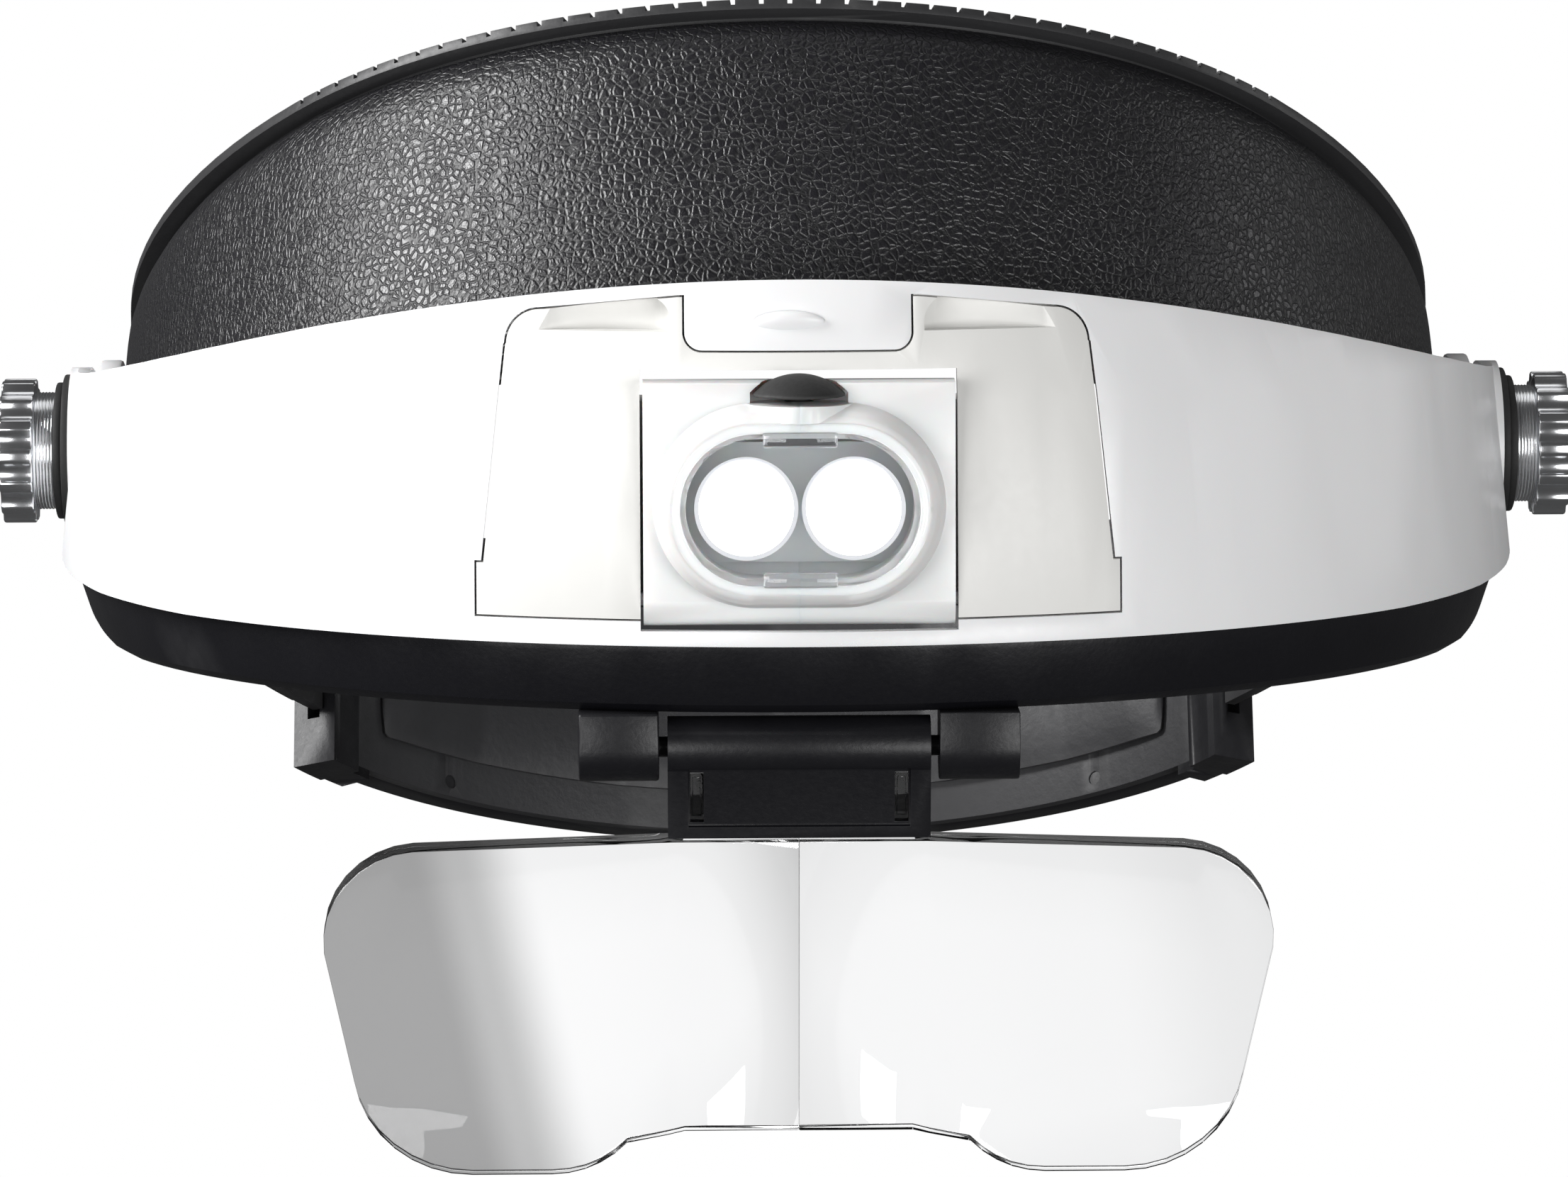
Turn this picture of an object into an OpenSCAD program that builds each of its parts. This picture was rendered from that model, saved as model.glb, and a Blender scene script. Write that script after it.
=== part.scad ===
// Head visor magnifier: a padded head band, a tilting visor with a lamp unit, and a flip-up lens plate.
// Millimetres. Front faces -Y and +Z is up as worn. The origin is the middle of the head opening.

/* [Head band] */
// Width of the head opening
head_w = 157; // [135:1:188]
// Length of the head opening, front to back
head_l = 197; // [191:1:236]
// Lean of the band, front up
band_tilt = 21; // [16:1:23]
// Height of the band's top edge over the middle of the head opening
band_top = 18; // [16:0.5:19]
// Thickness of the forehead foam
pad_t = 4; // [3:0.5:5]
// Thickness of the plastic band frame
frame_t = 1.6; // [1.2:0.1:2]
// Thickness of the padded outer cover
cover_t = 2.9; // [2.4:0.1:3.5]

/* [Visor] */
// Forward pitch of the visor as worn
visor_pitch = 5.5; // [0:0.5:8]
// Wall of the white shell
shell_wall = 2.2; // [1.8:0.1:2.6]
// Room from the band to the inside of the visor's arms
arm_gap = 4; // [4:0.5:6]
// Room from the band to the front of the visor
nose_gap = 30; // [30:1:36]
// Height of the visor's arms at the pivots
arm_h = 25.2; // [23:0.2:27]
// How much higher the shell stands in the middle than at the arms
shell_rise = 16.8; // [15:0.2:18]
// Height of the black skirt below the shell
skirt_h = 8.4; // [7:0.2:10]

/* [Light unit] */
// Width of the light cover at its foot
cover_w = 75.2; // [70:0.2:80]
// Width of the lamp
lamp_w = 36.2; // [34:0.2:40]
// Height of the lamp
lamp_h = 28.5; // [28:0.5:30]
// Spacing of the two light sources
led_pitch = 12.4; // [12:0.2:13]
// Diameter of a battery cell
cell_d = 10.5; // [10:0.1:10.5]
// Length of a battery cell
cell_l = 44.5; // [40:0.5:45]

/* [Lens] */
// Width of the lens plate
lens_w = 112.2; // [95:0.2:118]
// Height of the lens plate below its holder
lens_h = 42; // [36:0.5:46]
// Thickness of the lens plate
lens_t = 3.4; // [3:0.1:4]
// Lean of the lens plate from the visor's upright
lens_lean = 11.5; // [5:0.5:16]

/* [Pivots] */
// Radius of the pivot bolts
bolt_r = 2.5; // [2:0.1:3]
// Radius of the thumb nuts
nut_r = 9.2; // [8:0.1:10]
// Thickness of one rubber washer
washer_t = 1; // [0.8:0.1:1.2]

/* [Fits] */
// Radial clearance of a running fit
run_gap = 0.05; // [0.03:0.01:0.1]
// Clearance between pieces that slide past each other
slide_gap = 0.3; // [0.2:0.05:0.4]
// Visible gap round the light cover
cover_gap = 0.25; // [0.2:0.05:0.4]

/* [Hidden] */
$fn = 64;

// Head opening: an oval of four arcs that meet smoothly
band_t = pad_t + frame_t + cover_t;
oval_d = (head_l - head_w) / 2;
end_c = 1.5 * oval_d;
side_c = 2 * oval_d;
end_r = head_l / 2 - end_c;
side_r = head_w / 2 + side_c;
side_half = atan(1.5 / 2);
end_half = 90 - side_half;
seam_lap = 0.25;
frame_out = pad_t + frame_t;
band_low_side = -12;
band_low_temple = -24;
band_low_front = -26;
bead_h = 1.3;
bead_out = 8.4;
groove_pitch = 2.6;
groove_n = 20;
groove_w = 0.6;

// Rear cradle, strap channel and pinion, as distances out from the head opening
cradle_half = 56;
clip_half = 61;
cradle_low = -18.4;
cradle_top = 22.5;
chan_in = 5.1;
chan_out = 7.1;
cradle_in = 3.6;
cradle_out = 8.6;
chan_low = -13;
chan_top = 16;
strap_in = chan_in + slide_gap;
strap_out = chan_out - slide_gap;
strap_low = -10.5;
strap_top = 13.5;
strap_from = 30;
strap_to = 72;
tail_to = 14;
tail_h = 6;
gear_w = 1.5;
gear_pitch_r = 3;
gear_n = 8;
rack_step = 360 * (gear_pitch_r / gear_n) / (end_r + 6.1);
rack_half = 7;

// Visor: its frame has the pivot axis at the origin
visor_r = head_w / 2 + band_t + arm_gap;
knob_y = visor_r - (head_l / 2 + band_t + nose_gap);
knob_z = 2;
draft = 0.1;
arm_mid = -2;
arm_low = arm_mid - arm_h / 2;
arm_top = arm_mid + arm_h / 2;
crease_z = 13.3;
lean_back = 0.404;
shell_peak = arm_top + shell_rise;
skirt_low = arm_low - skirt_h;
floor_r = visor_r - 19;
boss_in = visor_r - 2.6;
boss_out = visor_r - 0.1;

// Light unit and lamp, in the visor's frame
cover_low = arm_low + 3.1;
cover_top = shell_peak - 3.6;
cover_step = cover_low + 6;
lamp_low = cover_low - 1;
lamp_top = lamp_low + lamp_h;
lamp_mid = (lamp_low + lamp_top) / 2;
lamp_face = visor_r - 0.2;
corner_r = 3.1;
tip_y = -(lamp_face - corner_r);
tip_z = lamp_low + corner_r;
lamp_back = lamp_face - 7.4;
lamp_wall = 1.4;
lamp_gap = 0.35;
lamp_arc = lamp_top - tip_z + 0.1;
dome_c = 5.1;
dome_r = 11.9;
dome_h = 5.6;
window_r = 8.9;
rod_r = 1;
tray_front = lamp_back - 1.2;
tray_wall = 1;
cell_y = -(tray_front - tray_wall - cell_d / 2 - 0.05);
cell_gap = 0.4;
tray_low = -11;
tray_half = cell_l / 2 + 3.8;
tray_top = tray_low + 2 * tray_wall + 2 * cell_d + 3 * cell_gap;
button_y = -(lamp_face - 0.5);
button_r = 5.35;
shelf_z = lamp_top - 2.4;

// Lens hinge and holder, in the visor's frame
hinge_y = -(visor_r - 8);
hinge_z = skirt_low - 4.4;
hinge_r = 3.6;
ear_in = 16.4;
ear_out = 25.8;
holder_half = 15.4;
holder_drop = 6.8;
lens_drop = 0.9;
holder_t = 6;
pin_r = 1.2;
tongue_half = 13.6;
tongue_h = 7.6;
tongue_t = 2;

// Pivot stack, outwards along X, in the visor's frame
disc_in = boss_in - 4;
disc_t = 2.8;
disc_r = 11.5;
frame_boss_out = head_w / 2 + band_t - 8.3;
frame_boss_in = frame_boss_out - 5.6;
hub_x = boss_out + 2 * washer_t;
hub_l = 2.6;
nut_l = 4.2;

// Sweeps an outline round the head opening: its X is the distance out, its Y the height
module oval_sweep() {
    for (m = [0, 1]) mirror([m, 0, 0]) {
        translate([0, -end_c, 0]) rotate([0, 0, -90 - end_half])
            rotate_extrude(angle = end_half + seam_lap) translate([end_r, 0]) children();
        translate([side_c, 0, 0]) rotate([0, 0, 180 - side_half])
            rotate_extrude(angle = 2 * side_half) translate([side_r, 0]) children();
        translate([0, end_c, 0]) rotate([0, 0, 90 - seam_lap])
            rotate_extrude(angle = end_half + seam_lap) translate([end_r, 0]) children();
    }
}

module rear_sweep(from, to) {
    translate([0, end_c, 0]) rotate([0, 0, 90 - to])
        rotate_extrude(angle = to - from) translate([end_r, 0]) children();
}

// The same on one side only: s is -1 for the left and 1 for the right
module side_sweep(s, from, to) {
    rear_sweep(min(s * from, s * to), max(s * from, s * to)) children();
}

module in_band() {
    rotate([-band_tilt, 0, 0]) children();
}

module in_visor() {
    translate([0, knob_y, knob_z]) rotate([visor_pitch, 0, 0]) children();
}

module in_lens() {
    in_visor() translate([0, hinge_y, hinge_z]) rotate([lens_lean, 0, 0]) children();
}

// A side outline in Y and Z, extruded right across X
module across(half) {
    translate([-half, 0, 0]) rotate([90, 0, 90]) linear_extrude(2 * half) children();
}

// A front outline in X and Z, extruded along Y from near to far in front of the pivots
module ahead(near, far) {
    translate([0, -near, 0]) rotate([90, 0, 0]) linear_extrude(far - near) children();
}

module axle_x(r, x0, x1) {
    translate([x0, 0, 0]) rotate([0, 90, 0]) cylinder(r = r, h = x1 - x0);
}

module span(x0, x1, y0, y1) {
    translate([x0, y0]) square([x1 - x0, y1 - y0]);
}

module stadium(half, r) {
    square([2 * half, 2 * r], center = true);
    for (s = [-1, 1]) translate([s * half, 0]) circle(r);
}

module band_side_outline() {
    far = head_l / 2 + band_t + 4;
    polygon([[far, band_low_side], [far, 30], [-far, 30], [-far, band_low_front],
        [-30, band_low_temple], [8, band_low_side]]);
}

// The sector behind the side clips, where the rear cradle takes over
module rear_sector() {
    reach = 3 * head_l;
    translate([0, end_c, -50]) linear_extrude(100) polygon([[0, 0],
        [reach * sin(clip_half + 0.4), reach * cos(clip_half + 0.4)], [0, reach],
        [-reach * sin(clip_half + 0.4), reach * cos(clip_half + 0.4)]]);
}

module strap_channel() {
    for (s = [-1, 1]) {
        side_sweep(s, clip_half - 1, strap_to + 7) span(chan_in, chan_out, strap_low - 0.4, strap_top + 0.4);
    }
}

// Bolt line through both temples, in the world frame
module temple_bore(r, x0, x1) {
    translate([0, knob_y, knob_z]) for (s = [-1, 1]) mirror([s < 0 ? 1 : 0, 0, 0]) axle_x(r, x0, x1);
}

module trimmed_band() {
    in_band() difference() {
        intersection() {
            oval_sweep() children();
            across(head_w) band_side_outline();
        }
        rear_sector();
        strap_channel();
    }
}

module bead_grooves() {
    for (i = [-groove_n:groove_n]) {
        translate([0, -end_c, 0]) rotate([0, 0, -90 + i * groove_pitch])
            translate([end_r + pad_t - 1, -groove_w / 2, band_top + bead_h / 2]) cube([9, groove_w, bead_h]);
    }
}

module band_frame() {
    color("#1c1c1e") difference() {
        union() {
            trimmed_band() span(pad_t, frame_out, -40, band_top);
            in_band() difference() {
                oval_sweep() span(pad_t, bead_out, band_top, band_top + bead_h);
                rear_sector();
                bead_grooves();
            }
            temple_bore(6.5, frame_boss_in, frame_boss_out);
        }
        temple_bore(bolt_r + run_gap, frame_boss_in - 1, frame_boss_out + 1);
        temple_bore(5.4, frame_boss_in - 6, frame_boss_in);
    }
}

module band_cover() {
    color("#202022") difference() {
        trimmed_band() polygon([[frame_out, -40], [band_t, -40], [band_t, band_top - 4],
            [band_t - 0.6, band_top - 1.2], [band_t - 1.6, band_top], [frame_out, band_top]]);
        temple_bore(7.2, frame_boss_in - 5, visor_r);
    }
}

module forehead_pad() {
    color("#2a2a2c") difference() {
        intersection() {
            trimmed_band() span(0, pad_t, -40, band_top - 1);
            in_band() translate([-head_w, -head_l, -60]) cube([2 * head_w, head_l - 4, 120]);
        }
        temple_bore(7.2, frame_boss_in - 9, visor_r);
    }
}

module gear_bores(r) {
    rotate([-90, 0, 0]) cylinder(r = r, h = 2 * head_l);
}

module cradle_screw_holes(r) {
    for (a = [-40, 40]) for (w = [-16.2, 19.2]) {
        translate([0, end_c, w]) rotate([0, 0, a]) rotate([-90, 0, 0]) cylinder(r = r, h = end_r + 20);
    }
}

module rear_cradle_outer() {
    color("#1e1e20") in_band() difference() {
        rear_sweep(-cradle_half, cradle_half) polygon([[chan_in, cradle_low], [cradle_out, cradle_low],
            [cradle_out, cradle_top], [chan_in, cradle_top], [chan_in, chan_top], [chan_out, chan_top],
            [chan_out, chan_low], [chan_in, chan_low]]);
        translate([0, 0, gear_w]) gear_bores(2.2 + run_gap);
        cradle_screw_holes(1);
    }
}

module rear_cradle_inner() {
    color("#232325") in_band() difference() {
        rear_sweep(-cradle_half, cradle_half) span(cradle_in, chan_in, cradle_low, cradle_top);
        translate([0, 0, gear_w]) gear_bores(1.5 + run_gap);
        cradle_screw_holes(1);
    }
}

module cradle_screws() {
    color("silver") in_band() intersection() {
        cradle_screw_holes(1);
        rear_sweep(-cradle_half, cradle_half) span(cradle_in + 0.2, cradle_out, cradle_low, cradle_top);
    }
}

module rear_pad() {
    color("#2c2c2e") in_band() rear_sweep(4 - cradle_half, cradle_half - 4) span(0, cradle_in, -14, 17);
}

module cradle_clip(s) {
    color("#18181a") in_band() difference() {
        union() {
            side_sweep(s, cradle_half, clip_half)
                span(cradle_in - 1, cradle_out + 0.7, cradle_low - 1.4, cradle_top + 1.4);
            side_sweep(s, cradle_half - 3, cradle_half + 1)
                span(cradle_in, cradle_out, cradle_low - 1.4, cradle_low);
        }
        rear_sweep(-80, 80) span(chan_in, chan_out, chan_low, chan_top);
    }
}

module cradle_clip_left() {
    cradle_clip(-1);
}

module cradle_clip_right() {
    cradle_clip(1);
}

// One strap: a full-height part at the side and a toothed tail past the pinion
module size_strap(s) {
    tail_edge = gear_pitch_r + 0.55;
    tail_low = gear_w + (s < 0 ? tail_edge : -tail_edge - tail_h);
    color("#2f2f31") in_band() {
        difference() {
            side_sweep(s, -tail_to, strap_to) span(strap_in, strap_out, strap_low, strap_top);
            side_sweep(s, -tail_to - 1, strap_from) {
                span(strap_in - 1, strap_out + 1, strap_low - 1, tail_low);
                span(strap_in - 1, strap_out + 1, tail_low + tail_h, strap_top + 1);
            }
        }
        for (i = [-rack_half:rack_half]) {
            translate([0, end_c, gear_w]) rotate([s < 0 ? 0 : 180, 0, 0])
                rotate([0, 0, (s < 0 ? 90 : -90) + (i + 0.5) * rack_step])
                translate([end_r + strap_in + 0.05, 0, tail_edge])
                rotate([90, 0, 90]) linear_extrude(strap_out - strap_in - 0.1)
                polygon([[-0.55, 0.2], [-0.55, 0], [-0.3, -0.95], [0.3, -0.95], [0.55, 0], [0.55, 0.2]]);
        }
    }
}

module size_strap_left() {
    size_strap(-1);
}

module size_strap_right() {
    size_strap(1);
}

function gear_point(a, r) = [r * sin(a), r * cos(a)];

module gear_outline() {
    polygon([for (i = [0:gear_n - 1]) for (p = [[-16, 2.4], [-6.5, 3.45], [6.5, 3.45], [16, 2.4]])
        gear_point(i * 360 / gear_n + p[0], p[1])]);
}

module size_pinion() {
    back = end_c + end_r;
    color("#c8c8c8") in_band() translate([0, back, gear_w]) rotate([-90, 0, 0]) {
        translate([0, 0, strap_in]) linear_extrude(strap_out - strap_in + 0.1) gear_outline();
        translate([0, 0, cradle_in + 0.2]) cylinder(r = 1.5, h = 2);
        translate([0, 0, strap_out]) cylinder(r = 2.2, h = 6);
    }
}

module size_knob() {
    back = end_c + end_r;
    color("#1a1a1c") in_band() translate([0, back, gear_w]) difference() {
        rotate([-90, 0, 0]) union() {
            translate([0, 0, cradle_out + 0.4]) cylinder(r = 13, h = 6);
            translate([0, 0, cradle_out + 6.4]) cylinder(r1 = 13, r2 = 11, h = 2);
        }
        for (i = [0:17]) rotate([0, i * 20, 0]) translate([14, 0, 0])
            rotate([-90, 0, 0]) cylinder(r = 1.7, h = 40);
        rotate([-90, 0, 0]) cylinder(r = 2.2, h = strap_out + 6);
    }
}

module one_side(s) {
    in_visor() mirror([s < 0 ? 1 : 0, 0, 0]) children();
}

module pivot_bracket(s) {
    color("white") one_side(s) difference() {
        union() {
            axle_x(6.5, frame_boss_out, disc_in + 0.5);
            axle_x(disc_r, disc_in, disc_in + disc_t);
        }
        axle_x(bolt_r + run_gap, 0, visor_r + 9);
    }
}

module pivot_bracket_left() {
    pivot_bracket(-1);
}

module pivot_bracket_right() {
    pivot_bracket(1);
}

module pivot_bolt(s) {
    color("silver") one_side(s) {
        axle_x(5, frame_boss_in - 1.8, frame_boss_in);
        axle_x(bolt_r, frame_boss_in - 0.5, hub_x + hub_l + nut_l - 0.6);
    }
}

module pivot_bolt_left() {
    pivot_bolt(-1);
}

module pivot_bolt_right() {
    pivot_bolt(1);
}

module washer(r, x0, x1) {
    difference() {
        axle_x(r, x0, x1);
        axle_x(bolt_r + run_gap, x0 - 1, x1 + 1);
    }
}

module inner_washers() {
    color("#151515") for (s = [-1, 1]) one_side(s) washer(8, disc_in + disc_t, boss_in);
}

module outer_washers() {
    color("#151515") for (s = [-1, 1]) one_side(s) for (i = [0, 1]) {
        washer(nut_r + 0.5 - i, boss_out + i * washer_t, boss_out + (i + 1) * washer_t - 0.02);
    }
}

module thumb_nut(s) {
    lobes = 14;
    color("#d8d8da") one_side(s) difference() {
        union() {
            axle_x(nut_r - 1.9, hub_x, hub_x + hub_l);
            axle_x(nut_r, hub_x + hub_l, hub_x + hub_l + nut_l);
        }
        axle_x(bolt_r + run_gap, hub_x - 1, hub_x + hub_l + nut_l + 1);
        for (i = [0:lobes - 1]) rotate([i * 360 / lobes, 0, 0]) translate([0, 0, nut_r + 0.9])
            axle_x(1.7, hub_x + hub_l - 1, hub_x + hub_l + nut_l + 1);
        difference() {
            axle_x(nut_r - 2.6, hub_x + hub_l + nut_l - 0.6, hub_x + hub_l + nut_l + 1);
            axle_x(4, hub_x, hub_x + hub_l + nut_l + 2);
        }
    }
}

module thumb_nut_left() {
    thumb_nut(-1);
}

module thumb_nut_right() {
    thumb_nut(1);
}

// Section of the shell's wall: drafted below the crease, leaning back above it
module shell_section() {
    low = arm_low;
    top = shell_peak + 3;
    crease_r = visor_r - draft * crease_z;
    top_r = crease_r - (top - crease_z) * lean_back;
    low_r = visor_r - draft * low;
    polygon([[low_r, low], [crease_r, crease_z], [top_r, top],
        [top_r - shell_wall, top], [crease_r - shell_wall, crease_z], [low_r - shell_wall, low]]);
}

// Half a turn round the front, and straight arms that run back past the pivots
module visor_sweep(back) {
    rotate([0, 0, 180]) rotate_extrude(angle = 180) children();
    for (s = [0, 1]) mirror([s, 0, 0]) translate([0, back, 0])
        rotate([90, 0, 0]) linear_extrude(back) children();
}

module shell_side_outline() {
    reach = visor_r * 1.06;
    peak_r = visor_r - draft * crease_z - (shell_peak - crease_z) * lean_back;
    steps = 14;
    polygon(concat(
        [[-56, arm_low], [-36, arm_low + 0.4], [-20, arm_low + 1.2], [-8, arm_low + 2.1]],
        [for (i = [2:12]) [arm_h / 2 * sin(i * 15), arm_mid - arm_h / 2 * cos(i * 15)]],
        [for (i = [1:steps]) [-reach * i / steps, arm_top + shell_rise * pow(reach / peak_r * i / steps, 2)]],
        [[-reach, arm_low]]));
}

module cover_corner(s, g) {
    translate([s * (cover_w / 2 - 7.6), cover_top - 4]) circle(4 + g);
}

module tab_outline(g) {
    span(-13.2 - g, 13.2 + g, shell_peak - 6 - g, shell_peak + 9);
    span(-11.2 - g, 11.2 + g, shell_peak - 8 - g, shell_peak);
    for (s = [-1, 1]) translate([s * 11.2, shell_peak - 6]) circle(2 + g);
}

// Outline of the light cover, grown by g
module cover_outline(g) {
    foot = cover_w / 2 + g;
    difference() {
        union() {
            polygon([[-foot, cover_low - g], [foot, cover_low - g], [foot, cover_step + g],
                [foot - 0.8, cover_step + g], [cover_w / 2 - 3.5 + g, cover_top - 4],
                [cover_w / 2 - 7.6, cover_top + g], [14, cover_top + 1.6 + g],
                [-14, cover_top + 1.6 + g], [7.6 - cover_w / 2, cover_top + g],
                [3.5 - cover_w / 2 - g, cover_top - 4], [0.8 - foot, cover_step + g],
                [-foot, cover_step + g]]);
            cover_corner(-1, g);
            cover_corner(1, g);
        }
        tab_outline(cover_gap - g);
    }
}

module skirt_screw_rod(r, from, to) {
    for (a = [-50, 50]) rotate([0, 0, a]) translate([0, -from, arm_low + 1.6])
        rotate([90, 0, 0]) cylinder(r = r, h = to - from);
}

// The screws are driven outwards from inside the skirt, and stop short of the shell's outside
module skirt_screw_shanks() {
    skirt_screw_rod(0.8, visor_r - 3.6, visor_r + 0.4);
}

module visor_shell() {
    color("#f4f4f4") in_visor() difference() {
        union() {
            intersection() {
                visor_sweep(arm_h / 2 + 1) shell_section();
                across(2 * visor_r) shell_side_outline();
            }
            for (s = [0, 1]) mirror([s, 0, 0]) axle_x(10.6, boss_in, boss_out);
        }
        for (s = [0, 1]) mirror([s, 0, 0]) {
            axle_x(bolt_r + run_gap, visor_r - 9, visor_r + 9);
            axle_x(nut_r + 1, boss_out, visor_r + 9);
            axle_x(disc_r + 0.6, boss_in - 9, boss_in);
        }
        ahead(visor_r - 30, visor_r + 9) {
            cover_outline(cover_gap);
            span(-lamp_w / 2 - lamp_gap, lamp_w / 2 + lamp_gap, lamp_low - 0.4, cover_low);
        }
        skirt_screw_shanks();
    }
}

module visor_skirt() {
    r = visor_r;
    t = 1.9;
    z0 = skirt_low;
    color("#161617") in_visor() difference() {
        intersection() {
            visor_sweep(arm_h / 2) polygon([[floor_r, z0], [r - 4.6, z0], [r - 3.2, z0 + 1],
                [r - 1.1, arm_low - 1], [r - 1.1, arm_low + 3], [r - 2.7, arm_low + 3],
                [r - 4.4, z0 + t + 0.6], [r - 5.4, z0 + t], [floor_r, z0 + t]]);
            across(2 * r) polygon([[2, arm_low + 4], [2, arm_low + 1], [-6, arm_low - 3.5],
                [-20, z0 + 2], [-32, z0], [-2 * r, z0], [-2 * r, arm_low + 4]]);
        }
        skirt_screw_shanks();
        ahead(visor_r - 30, visor_r + 9) span(-cover_w / 2 - 1, cover_w / 2 + 1, arm_low + 1.2, arm_low + 9);
    }
}

module skirt_screws() {
    color("silver") in_visor() {
        skirt_screw_shanks();
        skirt_screw_rod(1.5, visor_r - 4.4, visor_r - 3.3);
    }
}

module lens_ear(s) {
    color("#141415") in_visor() mirror([s < 0 ? 1 : 0, 0, 0]) difference() {
        translate([0, hinge_y, hinge_z]) union() {
            axle_x(4, ear_in, ear_out);
            translate([ear_in, -4, 0]) cube([ear_out - ear_in, 8, skirt_low - hinge_z]);
        }
        translate([0, hinge_y, hinge_z]) axle_x(pin_r, 0, ear_out - 1);
    }
}

module lens_ear_left() {
    lens_ear(-1);
}

module lens_ear_right() {
    lens_ear(1);
}

module lens_hinge_pin() {
    color("silver") in_visor() translate([0, hinge_y, hinge_z]) axle_x(pin_r, -ear_out + 1, ear_out - 1);
}

module lamp_opening(g) {
    span(-lamp_w / 2 - g, lamp_w / 2 + g, cover_low - 9, lamp_top + 1.2);
}

module scoop_outline() {
    span(-9.2, 9.2, 0, 0.9);
    span(-6, 6, 0, 6);
    for (s = [-1, 1]) translate([s * 6, 0.9]) circle(3.2);
}

module light_cover() {
    scoop_x = 23.9;
    scoop_z = cover_top - 2.3;
    scoop_r = 16;
    color("#eeede8") in_visor() difference() {
        union() {
            intersection() {
                visor_sweep(1) shell_section();
                ahead(visor_r - 40, visor_r + 9) cover_outline(0);
            }
            intersection() {
                for (s = [-1, 1]) translate([s * scoop_x - 10.2, -(visor_r - 3), scoop_z - 1.2])
                    cube([20.4, 10.6, 7]);
                rotate_extrude() polygon([[visor_r - 18, 0], [visor_r - 2, 0], [visor_r - 2, crease_z],
                    [visor_r - 2 - lean_back * 12, crease_z + 12], [visor_r - 18, crease_z + 12]]);
                ahead(visor_r - 40, visor_r + 9) cover_outline(0);
            }
            for (s = [0, 1]) mirror([s, 0, 0]) translate([0, tip_y, tip_z])
                translate([lamp_w / 2 + 0.5, -0.6, -1.9]) cube([3.2, 3.2, 4.2]);
        }
        intersection() {
            for (s = [-1, 1]) translate([s * scoop_x, -(visor_r - 11.4 + scoop_r), scoop_z])
                cylinder(r = scoop_r, h = 20);
            ahead(visor_r - 40, visor_r + 9) for (s = [-1, 1]) translate([s * scoop_x, scoop_z]) scoop_outline();
        }
        ahead(visor_r - 40, visor_r + 9) lamp_opening(lamp_gap);
        translate([0, tip_y, tip_z]) axle_x(rod_r, -lamp_w / 2 - 3.2, lamp_w / 2 + 3.2);
    }
}

module battery_tray() {
    floor_y = -tray_front;
    depth = tray_wall + 0.7 * cell_d;
    color("#e6e4de") in_visor() difference() {
        translate([-tray_half, floor_y, tray_low]) cube([2 * tray_half, depth, tray_top - tray_low]);
        for (i = [0, 1]) translate([-tray_half + 1, floor_y + tray_wall, cell_z(i) - (cell_d + cell_gap) / 2])
            cube([2 * tray_half - 2, depth, cell_d + cell_gap]);
    }
}

function cell_z(i) = tray_low + tray_wall + cell_gap / 2 + cell_d / 2 + i * (cell_d + cell_gap * 1.5);

module battery_cells() {
    color("#6f7f8f") in_visor() for (i = [0, 1]) mirror([i, 0, 0]) translate([0, cell_y, cell_z(i)]) {
        axle_x(cell_d / 2, -cell_l / 2, cell_l / 2 - 0.8);
        axle_x(1.9, cell_l / 2 - 0.9, cell_l / 2);
    }
}

module contact_springs() {
    color("silver") in_visor() for (i = [0, 1]) mirror([i, 0, 0]) translate([0, cell_y, cell_z(i)])
        translate([-tray_half + 1.4, 0, 0]) rotate([0, 90, 0]) difference() {
            cylinder(r1 = 3.4, r2 = 2.2, h = tray_half - 1.4 - cell_l / 2);
            translate([0, 0, -1]) cylinder(r = 1.6, h = 9);
        }
}

module contact_plates() {
    color("silver") in_visor() for (i = [0, 1]) translate([0, cell_y, cell_z(i)]) {
        for (s = [-1, 1]) translate([s * (tray_half - 1.2), -1, 0]) cube([0.4, 5.6, 8], center = true);
        mirror([i, 0, 0]) axle_x(1.5, cell_l / 2, tray_half - 1.4);
    }
}

module lamp_pivot_rod() {
    rod_half = lamp_w / 2 + 3.2;
    color("silver") in_visor() translate([0, tip_y, tip_z]) axle_x(rod_r, -rod_half, rod_half);
}

// Side outline of the lamp: its lower front corner and its top are round about the tip axis
module lamp_side(g) {
    intersection() {
        union() {
            translate([tip_y, tip_z]) circle(corner_r - g);
            span(-lamp_face + g, tip_y, tip_z, lamp_top + 3);
            span(tip_y, -lamp_back - g, lamp_low + 1.6 + g, lamp_top + 3);
            span(tip_y, -lamp_back - 1.6 - g, lamp_low + g, tip_z);
        }
        translate([tip_y, tip_z]) circle(lamp_arc - g);
    }
}

// The swelling round the window: a dome pulled out sideways
module stadium_dome(r, h) {
    rim = window_r + 0.3;
    dome = concat([[0, 0]], [for (i = [0:6]) [rim + (r - rim) * cos(i * 15), h * sin(i * 15)]], [[0, h]]);
    translate([0, -lamp_face, lamp_mid]) rotate([90, 0, 0]) {
        for (s = [-1, 1]) translate([s * dome_c, 0, 0]) rotate_extrude() polygon(dome);
        for (s = [0, 1]) mirror([0, s, 0]) translate([-dome_c, 0, 0]) rotate([90, 0, 90])
            linear_extrude(2 * dome_c) polygon(dome);
    }
}

module window_outline(r) {
    translate([0, lamp_mid]) stadium(dome_c, r);
}

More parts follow.
